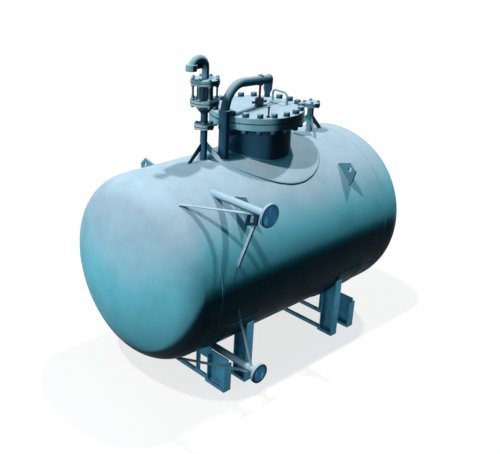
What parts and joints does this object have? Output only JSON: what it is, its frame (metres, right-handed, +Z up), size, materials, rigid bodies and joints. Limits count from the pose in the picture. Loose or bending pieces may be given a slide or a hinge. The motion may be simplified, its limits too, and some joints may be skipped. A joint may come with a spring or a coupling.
{
  "type": "horizontal pressure tank",
  "caption": "Horizontal pressure tank with dished ends, bolted manway with a swing davit, vent stack, blinded nozzle, gauge nozzles, lifting lugs and two saddles.",
  "frame": {"origin": "on the floor, under the middle of the overall length and width", "axes": "+X along the vessel toward the end away from the vent, -Y is the side of the gauge nozzles, +Z up"},
  "size_m": [3.0564, 1.806, 2.6801],
  "materials": {
    "blue_cap": "satin deep blue",
    "dark_steel": "oiled dark steel",
    "gasket": "dark fibre-reinforced sheet",
    "saddle_paint": "the same enamel, more worn and dusty",
    "tank_paint": "semi-gloss pale blue-grey enamel, slightly weathered"
  },
  "bodies": {
    "vessel": {"davit_brackets": "tank_paint", "davit_sleeve": "tank_paint", "far_head": "tank_paint", "far_inner_base": "saddle_paint", "far_inner_legs": "saddle_paint", "far_lifting_lugs": "tank_paint", "far_outer_base": "saddle_paint", "far_outer_legs": "saddle_paint", "far_saddle_pad": "tank_paint", "lower_gauge_braces": "tank_paint", "lower_gauge_cap": "blue_cap", "lower_gauge_nozzle": "tank_paint", "manway_flange": "tank_paint", "manway_gasket": "gasket", "manway_neck": "tank_paint", "manway_pad": "tank_paint", "near_head": "tank_paint", "near_inner_base": "saddle_paint", "near_inner_legs": "saddle_paint", "near_lifting_lugs": "tank_paint", "near_outer_base": "saddle_paint", "near_outer_legs": "saddle_paint", "near_saddle_pad": "tank_paint", "shell_barrel": "tank_paint", "stub_blind": "tank_paint", "stub_braces": "tank_paint", "stub_nozzle": "tank_paint", "upper_gauge_braces": "tank_paint", "upper_gauge_cap": "blue_cap", "upper_gauge_nozzle": "tank_paint", "vent_bend": "tank_paint", "vent_body": "tank_paint", "vent_braces": "tank_paint", "vent_cone": "tank_paint", "vent_nozzle": "tank_paint"},
    "davit_arm": {"davit_arm": "tank_paint", "davit_tongue": "tank_paint"},
    "manway_cover": {"manway_cover": "tank_paint", "cover_hub": "dark_steel", "cover_handle": "tank_paint", "lifting_screw": "dark_steel"}
  },
  "joints": [
    {"name": "davit_swing", "type": "hinge", "parent": "vessel", "child": "davit_arm", "pos_m": [-0.385, 0.021, 2.2], "axis": [0, 0, 1], "range_deg": [-115, 0]},
    {"name": "cover_lift", "type": "slide", "parent": "davit_arm", "child": "manway_cover", "axis": [0, 0, 1], "range_m": [0, 0.05]}
  ]
}
